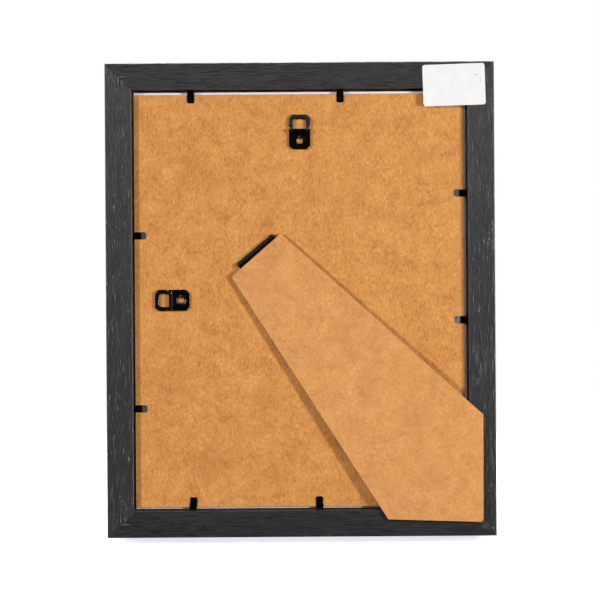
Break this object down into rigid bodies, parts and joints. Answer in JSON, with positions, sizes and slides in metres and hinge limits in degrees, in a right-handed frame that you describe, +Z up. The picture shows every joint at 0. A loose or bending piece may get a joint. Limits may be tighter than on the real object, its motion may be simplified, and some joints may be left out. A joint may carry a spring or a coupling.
{
  "type": "easel back photo frame",
  "caption": "Upright rabbeted photo frame with glass, mount and hardboard back, held by bending steel tabs, with folding hanger rings and a hinged easel leg.",
  "frame": {"origin": "middle of the bottom edge's flat face, half way through the moulding's depth", "axes": "+Z up in portrait use, glass towards -Y, easel and hangers on +Y, +X to the right as seen from the front"},
  "size_m": [0.2384, 0.0186, 0.2906],
  "materials": {
    "moulding": "satin black with a fine straight grain",
    "nail_steel": "dull steel",
    "glazing": "clear, polished",
    "mount_card": "matt white",
    "plain_paper": "matt off-white",
    "hardboard": "mottled pressed fibre",
    "leg_hardboard": "mottled pressed fibre",
    "black_steel": "black, semi-gloss",
    "label_paper": "matt white, adhesive backed"
  },
  "bodies": {
    "frame": {"rail_top": "moulding", "rail_bottom": "moulding", "rail_left": "moulding", "rail_right": "moulding", "corner_v_nails": "nail_steel", "glass_pane": "glazing", "window_mount": "mount_card", "picture_sheet": "plain_paper", "backing_board": "hardboard", "flex_tab_roots": "black_steel", "hanger_plate_top": "black_steel", "hanger_plate_side": "black_steel", "hinge_fixed_leaf": "black_steel", "hinge_pin": "black_steel", "corner_label": "label_paper"},
    "leg": {"hinge_moving_leaf": "black_steel", "easel_leg": "leg_hardboard"},
    "top_ring": {"hanger_ring_top": "black_steel"},
    "side_ring": {"hanger_ring_side": "black_steel"},
    "tab_top_left": {"flex_tab_top_left": "black_steel"},
    "tab_top_right": {"flex_tab_top_right": "black_steel"},
    "tab_bottom_left": {"flex_tab_bottom_left": "black_steel"},
    "tab_bottom_right": {"flex_tab_bottom_right": "black_steel"},
    "tab_left_upper": {"flex_tab_left_upper": "black_steel"},
    "tab_left_lower": {"flex_tab_left_lower": "black_steel"},
    "tab_right_upper": {"flex_tab_right_upper": "black_steel"},
    "tab_right_lower": {"flex_tab_right_lower": "black_steel"}
  },
  "joints": [
    {"name": "leg_swing", "type": "hinge", "parent": "frame", "child": "leg", "pos_m": [0.02734, 0.0049, 0.17533], "axis": [0.77, 0, -0.6381], "range_deg": [0, 30]},
    {"name": "top_ring_swing", "type": "hinge", "parent": "frame", "child": "top_ring", "pos_m": [0, 0.0049, 0.2486], "axis": [-1, 0, 0], "range_deg": [0, 160]},
    {"name": "side_ring_swing", "type": "hinge", "parent": "frame", "child": "side_ring", "pos_m": [0.0793, 0.0049, 0.1453], "axis": [0, 0, 1], "range_deg": [0, 160]},
    {"name": "tab_top_left_bend", "type": "hinge", "parent": "frame", "child": "tab_top_left", "pos_m": [-0.02498, 0.00387, 0.27348], "axis": [1, 0, 0], "range_deg": [0, 75]},
    {"name": "tab_top_right_bend", "type": "hinge", "parent": "frame", "child": "tab_top_right", "pos_m": [0.06661, 0.00387, 0.27348], "axis": [1, 0, 0], "range_deg": [0, 75]},
    {"name": "tab_bottom_left_bend", "type": "hinge", "parent": "frame", "child": "tab_bottom_left", "pos_m": [-0.01088, 0.00387, 0.01712], "axis": [-0.9996, 0, 0.0297], "range_deg": [0, 75]},
    {"name": "tab_bottom_right_bend", "type": "hinge", "parent": "frame", "child": "tab_bottom_right", "pos_m": [0.06676, 0.00387, 0.01712], "axis": [-0.9965, 0, -0.0837], "range_deg": [0, 75]},
    {"name": "tab_left_upper_bend", "type": "hinge", "parent": "frame", "child": "tab_left_upper", "pos_m": [-0.10207, 0.00387, 0.21001], "axis": [0, 0, 1], "range_deg": [0, 75]},
    {"name": "tab_left_lower_bend", "type": "hinge", "parent": "frame", "child": "tab_left_lower", "pos_m": [-0.10207, 0.00387, 0.13228], "axis": [0, 0, 1], "range_deg": [0, 75]},
    {"name": "tab_right_upper_bend", "type": "hinge", "parent": "frame", "child": "tab_right_upper", "pos_m": [0.10207, 0.00387, 0.185], "axis": [0, 0, -1], "range_deg": [0, 75]},
    {"name": "tab_right_lower_bend", "type": "hinge", "parent": "frame", "child": "tab_right_lower", "pos_m": [0.10207, 0.00387, 0.07892], "axis": [0, 0, -1], "range_deg": [0, 75]}
  ]
}
